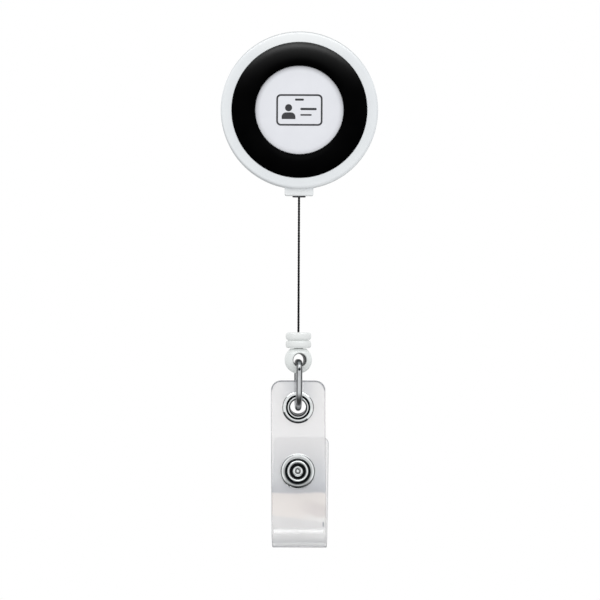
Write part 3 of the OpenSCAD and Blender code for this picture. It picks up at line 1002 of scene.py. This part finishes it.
def make_ball():
    """A ball turned about its cross hole, with a neck and head set in its top."""
    lip, neck_r, head_r, head_t = 0.32, 0.9, 1.3, 0.5
    start = degrees(asin(BALL_HOLE / BALL_R))
    skin = [(BALL_R * sin(a), BALL_R * cos(a), 0)
            for a in np.radians(np.linspace(start + 6, 174 - start, 44))]
    mouth = BALL_R * cos(radians(start))
    hole = [(BALL_HOLE, -mouth, lip), (BALL_HOLE, 0, 0), (BALL_HOLE, mouth, lip)]
    outline = rounded(hole + skin, closed=True, steps=7)
    ball = lathe("swivel_ball", outline, (0, PART_Y, BALL_Z), closed=True)
    x, y, z = (points_of(ball) - [0, PART_Y, 0]).T
    c, s = cos(BALL_TURN), sin(BALL_TURN)
    set_points(ball, np.stack([x * c - y * s, x * s + y * c + PART_Y, z], 1))
    flat_z = stop_low.z - 0.1
    carve(ball, block("cutter", (-4, PART_Y - 4, flat_z), (4, PART_Y + 4, flat_z + 4), 0.01))
    foot_z, head_z = BALL_Z + BALL_HOLE + 0.4, ball_high.z - head_t
    neck = rounded([
        (0, foot_z, 0), (neck_r, foot_z, 0), (neck_r, head_z, 0),
        (head_r, head_z, 0.05), (head_r, ball_high.z, 0.1), (0, ball_high.z, 0),
    ])
    carve(ball, lathe("neck", neck, (0, PART_Y, 0), "Z", 48), "UNION")
    dress(ball, "stop_white", "ball", ["ball_end"], finish="ball_white")


def make_link():
    """A closed wire loop, narrower at its round foot than at its shoulders."""
    wire = link_high.x
    shoulder_r = 1.35
    top, bottom = link_high.z - wire + 0.05, link_low.z + wire
    half = PART_Y - link_low.y - wire
    foot = half - 0.35
    corners = [(0, top, 0), (half, top, shoulder_r), (foot, bottom + foot, 0)]
    corners += arc(0, bottom + foot, foot, 0, -180, 40)[1:]
    corners += [(-half, top, shoulder_r), (0, top, 0)]
    outline, _ = side_path(corners, step=0.12)
    sideways, ahead = sin(LINK_TURN), cos(LINK_TURN)
    path = [(-depth * sideways, PART_Y + depth * ahead, z) for depth, z in outline[:-1]]
    link = sweep("wire_link", path, wire, 28, closed=True)
    points = points_of(link)
    # painted shadow where it runs through the ball, and one small painted dark reflection below the shoulder
    inside = np.clip((points[:, 2] - top + 0.75) / 0.4, 0, 0.8)
    dark_dot = np.array((half * sideways, PART_Y - half - wire, top - 1.38))
    away = np.linalg.norm(points - dark_dot, axis=1)
    set_values(link, "groove", np.maximum(inside, np.clip(2.6 - away / 0.16, 0, 1)))
    dress(link, "nickel", "link", ["link"], sharp=60, finish="wire")


# ---- Strap ----

EYELET_HOLE = 1.92  # radii of the strip's three holes
SNAP_HOLE = 1.97
SHANK_HOLE = 0.65
TOP_CORNER = 2.05  # corner radii at the strip's two ends
FLAP_CORNER = 1.3


def loop_shape():
    """Side view of the folded strip, by distance from the fold's bottom: how far
    each layer stands from the middle, its height, and how far it leans."""
    step = 0.02
    reach = np.arange(0, 40, step)
    bends = [0, 0.6, 1.3, 2.6, 4.6, 7.4, 9.6, 11.8, 40]
    window = 31  # steps that the bends are smoothed over
    side = window // 2
    straight = (FLAP_Y - STRAP_Y) / 2
    low, high = 0.0, 30.0
    # the fold bulges, and then leans back in by the angle that closes the layers up
    for _ in range(40):
        lean = (low + high) / 2
        leans = np.radians(np.interp(reach, bends, [90, 60, 30, 9.5, 0, -lean, -lean * 0.7, 0, 0]))
        padded = np.concatenate([np.pi - leans[side:0:-1], leans, leans[-side:]])
        leans = np.convolve(padded, np.ones(window) / window, "valid")
        stand = np.cumsum(np.sin(leans)) * step
        if stand[-1] > straight:
            low = lean
        else:
            high = lean
    height = np.cumsum(np.cos(leans)) * step + fold_low.z + STRAP_T / 2
    return reach, stand, height, leans


def strap_stations(front_len, back_len):
    """Places along the strip, closer together round the fold and at its ends."""
    total = front_len + back_len
    upper = list(np.arange(TOP_CORNER + 0.6, front_len - 12.6, 0.8))
    near_fold = [front_len + d for d in np.arange(-12.5, 12.6, 0.3)]
    behind = [front_len + d for d in np.arange(13.2, back_len - FLAP_CORNER - 0.3, 0.7)]
    flap_end = [total - d for d in reversed(end_steps(FLAP_CORNER, 6))]
    return end_steps(TOP_CORNER, 9) + upper + near_fold + behind + flap_end


def distance_to_outline(along, across, total):
    """How far each point of the strip is inside its outline, with its round corners."""
    from_side = STRAP_HALF - np.abs(across)
    from_end = np.minimum(along, total - along)
    corner = np.where(along < total / 2, TOP_CORNER, FLAP_CORNER)
    in_corner = (from_side < corner) & (from_end < corner)
    from_arc = corner - np.hypot(corner - from_side, corner - from_end)
    return np.where(in_corner, from_arc, np.minimum(from_side, from_end))


def folded(flat, front_len, side_view):
    """Where the flat strip's points are once it is folded."""
    skew, skew_start, skew_end = 0.10, 3, 11.6  # the front bulge starts lower on one side
    curl_z, curl_run, curl_out = SNAP_Z + 3.4, 3.5, 0.3  # the flap's end curls away
    bow_z, bow_half, bow_out = (EYELET_Z + SNAP_Z) / 2, 1.9, 0.1  # the front bows a little
    slant, flap_shift, flap_slant = 0.010, 0.25, 0.022  # it hangs to one side, the flap more
    turn_end, turn_shift, turn_slant = 2.5, 0.285, 0.125  # round the fold the two shifts meet
    reach, stand, height, leans = side_view
    across, through, from_fold = flat[:, 0], flat[:, 1], -flat[:, 2] - front_len
    distance = np.abs(from_fold)
    behind = from_fold > 0
    uneven = np.where(behind, 0, np.clip((distance - skew_start) / skew_start, 0, 1))
    skewed = np.where(distance < skew_end, distance + across * skew * uneven, distance)
    out = np.interp(skewed, reach, stand)
    z = np.interp(distance, reach, height)
    lean = np.interp(skewed, reach, leans)
    turn = np.where(behind, np.pi - lean, lean)
    y = HINGE.y + np.where(behind, out, -out)
    curl = np.clip((z - curl_z) / curl_run, 0, None) ** 2
    bow = np.exp(-(((z - bow_z) / bow_half) ** 2))
    y = y + np.where(behind, curl * curl_out, -bow * bow_out)
    flap_extra = flap_shift + np.clip(z - HINGE.z, 0, None) * flap_slant
    shift = np.clip(EYELET_Z - z, 0, None) * slant + np.where(behind, flap_extra, 0)
    round_turn = turn_shift + turn_slant * (1 + from_fold / turn_end)
    shift = np.where(distance < turn_end, round_turn, shift)
    return np.stack([across + shift, y + through * np.cos(turn), z + through * np.sin(turn)], 1)


def make_strap():
    """One milky vinyl strip: down the front, round the fold and up the back."""
    side_view = loop_shape()
    reach, _, height, _ = side_view
    front_len = float(np.interp(strap_high.z, height, reach))
    back_len = float(np.interp(flap_high.z, height, reach))
    stations = strap_stations(front_len, back_len)
    halves, thicks = end_shapes(stations, STRAP_HALF, STRAP_T, TOP_CORNER, FLAP_CORNER, 0.2)
    strap = strip("vinyl_strap", stations, halves, thicks, lambda u, x, t: (x, t, -u), 16)
    shank_at = front_len + float(np.interp(SNAP_Z, height, reach))
    eyelet_at, snap_at = strap_high.z - EYELET_Z, strap_high.z - SNAP_Z
    for at, radius in ((eyelet_at, EYELET_HOLE), (snap_at, SNAP_HOLE), (shank_at, SHANK_HOLE)):
        carve(strap, rod("bore", radius, (0, -1, -at), (0, 1, -at), 64))
    flat = points_of(strap)
    across, along = flat[:, 0], -flat[:, 2]
    moved = folded(flat, front_len, side_view)
    set_points(strap, moved)
    turn_outward(strap)
    rim = distance_to_outline(along, across, front_len + back_len)
    marks = {"along": along, "across": across, "behind": along > front_len, "rim": rim}
    for mark, values in marks.items():
        set_values(strap, mark, values)
    dress(strap, "vinyl", replaces=["strap_front", "strap_fold", "strap_flap"], sharp=50)
    _, y, z = moved.T
    round_fold = np.arctan2(HINGE.z - z, HINGE.y - y) / np.pi
    shares = np.where(z < HINGE.z, round_fold, np.where(y < HINGE.y, 0.0, 1.0))
    start, end = (0, HINGE.y - 1, HINGE.z), (0, HINGE.y + 1, HINGE.z)
    bend_between(strap, "strap", "flap", start, end, shares)


# ---- Eyelet and snap ----

def turned_metal(name, corners, z, body, nodes, closed=True, steps=6, grooves=(), bore=0):
    """A turned metal piece with painted shade. Each groove is a radius where dark is
    painted, a half width at its top, and how much wider it is at its sides and foot.
    The wall inside the bore's radius gets painted shade."""
    bore_end, bore_dark = -0.45, 0.9
    centre = (0, STRAP_Y, z)
    piece = turned(name, corners, "nickel", body, nodes, centre, closed=closed, steps=steps, sharp=40)
    x, y, z = (points_of(piece) - centre).T
    reach = np.hypot(x, z)
    upward = np.clip(z / np.maximum(reach, 0.1), -0.4, 1)
    # painted shade and painted dark reflections in the grooves
    depth = np.zeros(len(reach))
    for radius, half, wider in grooves:
        width = half + wider * (1 - upward)
        depth = np.maximum(depth, np.clip(1.6 - 1.6 * np.abs(reach - radius) / width, 0, 1))
    depth[(reach < bore) & (y > bore_end)] = bore_dark
    set_values(piece, "groove", depth)
    return piece


def shade_eyelet(eyelet):
    """Painted reflections: dark arcs that the eyelet's face mirrors beside the link
    and along its foot.
    """
    points = points_of(eyelet)
    dark = np.zeros(len(points), np.float32)
    eyelet.data.attributes["groove"].data.foreach_get("value", dark)
    across, up = points[:, 0], points[:, 2] - EYELET_Z
    reach = np.hypot(across, up)
    beside = (reach > 2.15) & (reach < 2.55) & (up > 0.8) & (np.abs(across) > 0.5)
    below = (reach > 3.0) & (up < -1.0) & (across < 2.0)
    set_values(eyelet, "groove", np.where(beside, 0.95, np.where(below, 0.9, dark)))


def make_eyelet():
    """The eyelet, whose barrel is set a little askew, and the washer behind it."""
    face = STRAP_T / 2
    eyelet = turned_metal("top_eyelet", [
        (1.62, -0.6, 0.15), (1.62, 0.50, 0.05), (1.74, 0.56, 0.03), (1.90, 0.84, 0.06),
        (2.10, 0.88, 0.06), (2.20, 0.60, 0.03), (2.28, 0.38, 0.03), (2.40, 0.38, 0.02),
        (2.47, 0.62, 0.04), (2.60, 0.66, 0.05), (3.06, 0.60, 0.10), (3.20, 0.44, 0.1),
        (3.26, 0.30, 0.04), (3.26, face, 0.02), (1.9, face, 0), (1.9, -0.52, 0),
        (2.2, -0.52, 0.08), (2.24, -0.92, 0.18), (1.80, -1.0, 0.14),
    ], EYELET_Z, "strap", ["eyelet"], grooves=[(2.34, 0.14, 0.06), (1.72, 0.12, 0.05)], bore=1.7)
    shade_eyelet(eyelet)
    points = points_of(eyelet)
    barrel_r, drop = 2.4, 0.6
    askew = np.clip((points[:, 1] - STRAP_Y) / 1.0, 0, 1) * drop
    in_barrel = np.hypot(points[:, 0], points[:, 2] - EYELET_Z) < barrel_r
    points[:, 2] += np.where(in_barrel, askew, 0)
    set_points(eyelet, points)
    turned_metal("top_eyelet_washer", [
        (1.93, -face - 0.25, 0.05), (1.93, -face, 0), (3.2, -face, 0.04),
        (3.2, -face - 0.16, 0.08), (2.9, -face - 0.25, 0.1),
    ], EYELET_Z, "strap", ["eyelet_washer"])


def make_snap_socket():
    """The snap's half on the front layer: its face ring, and the cup behind it."""
    face, back = STRAP_T / 2, -STRAP_T / 2
    turned_metal("snap_face", [
        (1.7, -0.68, 0.05), (1.7, 0.66, 0.06), (1.80, 0.90, 0.08), (2.10, 0.95, 0.12),
        (2.26, 0.55, 0.05), (2.36, 0.36, 0.03), (2.52, 0.36, 0.03), (2.64, 0.61, 0.04),
        (3.00, 0.61, 0.05), (3.32, 0.52, 0.04), (3.37, 0.42, 0.02), (3.42, 0.44, 0.02),
        (3.49, 0.54, 0.04), (3.57, 0.50, 0.04), (3.57, face, 0.05), (1.95, face, 0),
        (1.95, -0.52, 0), (2.14, -0.54, 0.04), (2.14, -0.7, 0.06),
    ], SNAP_Z, "strap", ["snap_ring"], grooves=[(2.46, 0.14, 0.14), (3.39, 0.02, 0.05)], bore=1.76)
    turned_metal("snap_cup", [
        (1.97, back, 0), (3.3, back, 0.05), (3.3, -0.42, 0.08), (2.9, -0.5, 0.1), (2.52, -0.5, 0.05),
        (2.5, -1.2, 0.12), (1.45, -1.2, 0.08), (1.45, -1.02, 0.05), (2.25, -1.02, 0.1),
        (2.25, -0.5, 0.05), (1.97, -0.5, 0),
    ], SNAP_Z, "strap", ["snap_socket"], grooves=[(1.45, 0.4, 0.0)])


def make_snap_stud():
    """The snap's half on the flap: the stud, and the cap behind it."""
    base = STRAP_Y - flap_low.y
    turned_metal("snap_button", [
        (0.62, base, 0), (2.9, base, 0.06), (2.9, base + 0.2, 0.08), (1.15, base + 0.22, 0.1),
        (0.96, -1.15, 0.1), (1.18, -0.85, 0.12), (1.22, -0.45, 0.3), (1.08, -0.02, 0.22),
        (0.80, 0.10, 0.10), (0.62, 0.04, 0.05), (0.46, -0.10, 0.05), (0.32, -0.10, 0.04),
        (0.20, 0.04, 0.06), (0, 0.06, 0), (0, -0.6, 0), (0.62, -0.6, 0),
    ], SNAP_Z, "flap", ["snap_stud"], closed=False, grooves=[(0.42, 0.1, 0.0), (1.23, 0.15, 0.0)])
    rear = STRAP_Y - flap_high.y + 0.6
    turned_metal("snap_back_cap", [
        (0, -0.65, 0), (0.6, -0.65, 0.05), (0.6, rear, 0), (3.5, rear, 0.1), (3.5, rear - 0.28, 0.12),
        (3.1, rear - 0.44, 0.3), (2.3, rear - 0.66, 1.2), (1.2, rear - 0.78, 1.0), (0, rear - 0.8, 0),
    ], SNAP_Z, "flap", ["snap_cap"], closed=False, steps=8)


# ---- Studio ----

def mirrored_room(front, up):
    """What polished surfaces mirror: a white tent in front, dark at its sides and
    dimmer at the lens, a softbox above, and a dim room behind."""
    tent = product(scaled(front, 0.30, 0.66, 0.05, 1.06), scaled(up, -0.6, -0.2, 0.04, 1.0))
    lens = scaled(front, 0.988, 0.997, 1.0, 0.6)
    softbox = product(scaled(up, 0.58, 0.8), scaled(front, -0.3, 0.2, 0.8, 4.5))
    room = product(scaled(front, -0.3, -0.8), scaled(up, -0.45, 0.35, 0.22, 0.8))
    return calc("MAXIMUM", calc("MAXIMUM", softbox, room), product(tent, lens))


def make_world():
    """White to the camera. Diffuse and mirror rays see a soft studio instead."""
    world = bpy.data.worlds.new("studio")
    bpy.context.scene.world = world
    world.use_nodes = True
    tree = world.node_tree
    tree.nodes.clear()
    _, ahead, up = split(add("TexCoord", tree=tree).outputs["Generated"])
    front = product(ahead, -1.0)
    # even light on the object, stronger from above
    fill = ramp(up, -1.0, 1.0, 0.76, 1.30)
    room = mirrored_room(front, up)
    even = add("Background", {"Color": (0.985, 0.995, 1.0, 1), "Strength": fill})
    mirror = add("Background", {"Color": (0.99, 1.0, 1.0, 1), "Strength": room})
    white = add("Background", {"Color": (1, 1, 1, 1), "Strength": 1.0}, tree=tree)
    ray = add("LightPath", tree=tree).outputs
    seen = calc("MAXIMUM", ray["Is Camera Ray"], ray["Is Transmission Ray"])
    lit = add("MixShader", {0: ray["Is Glossy Ray"], 1: even.outputs[0], 2: mirror.outputs[0]})
    final = add("MixShader", {0: seen, 1: lit.outputs[0], 2: white.outputs[0]})
    add("OutputWorld", {"Surface": final.outputs[0]})


def make_floor():
    """A round pale floor, below the end of the cord when it is all pulled out. The
    studio's own light stands in for what the floor would throw back."""
    radius, thick, top_z = 1000, 20, -1020
    outline = rounded([(0, -thick, 0), (radius, -thick, 0), (radius, 0, 8), (0, 0, 0)])
    floor = lathe("floor", outline, (0, 0, top_z), "Z", 96)
    material, place = start_material("floor_pale")
    cloud = scaled(noise(place, 0.004, 3.0), 0.3, 0.7)
    pale = mixed(cloud, (0.9, 0.9, 0.9), (0.87, 0.87, 0.875))
    connect(material, Base_Color=pale, Roughness=0.8)
    floor.data.materials.append(material)
    floor.visible_diffuse = False
    floor.visible_glossy = False


def make_camera():
    """Straight on to the face, from far enough to flatten the view."""
    distance, seen_width, sensor = 1200.0, 122.3, 36.0
    centre_x, centre_z, roll = 0.29, -38.6, radians(-0.25)
    data = bpy.data.cameras.new("camera")
    data.sensor_width = sensor
    data.lens = sensor * distance / seen_width
    data.clip_start, data.clip_end = 0.05, 40
    camera = bpy.data.objects.new("camera", data)
    camera.location = Vector((centre_x, PART_Y - distance, centre_z)) * MM
    camera.rotation_euler = (pi / 2, roll, 0)
    bpy.context.scene.collection.objects.link(camera)
    bpy.context.scene.camera = camera


def carry_over():
    """Gives the CAD nodes that stay in use their finished materials."""
    for part in frame["record"]["subparts"]:
        obj = frame["nodes"][part["node"]]
        if not obj.hide_render:
            obj.data.materials.clear()
            obj.data.materials.append(MATERIALS[part["material_slot"]])


MATERIALS = make_materials()
make_front_cover()
make_back_cover()
make_ring()
make_label()
make_print()
make_grommet()
make_rivet()
make_clip()
make_cord()
make_stop()
make_ball()
make_link()
make_strap()
make_eyelet()
make_snap_socket()
make_snap_stud()
carry_over()
make_world()
make_floor()
make_camera()
bpy.context.scene.view_settings.view_transform = "Standard"
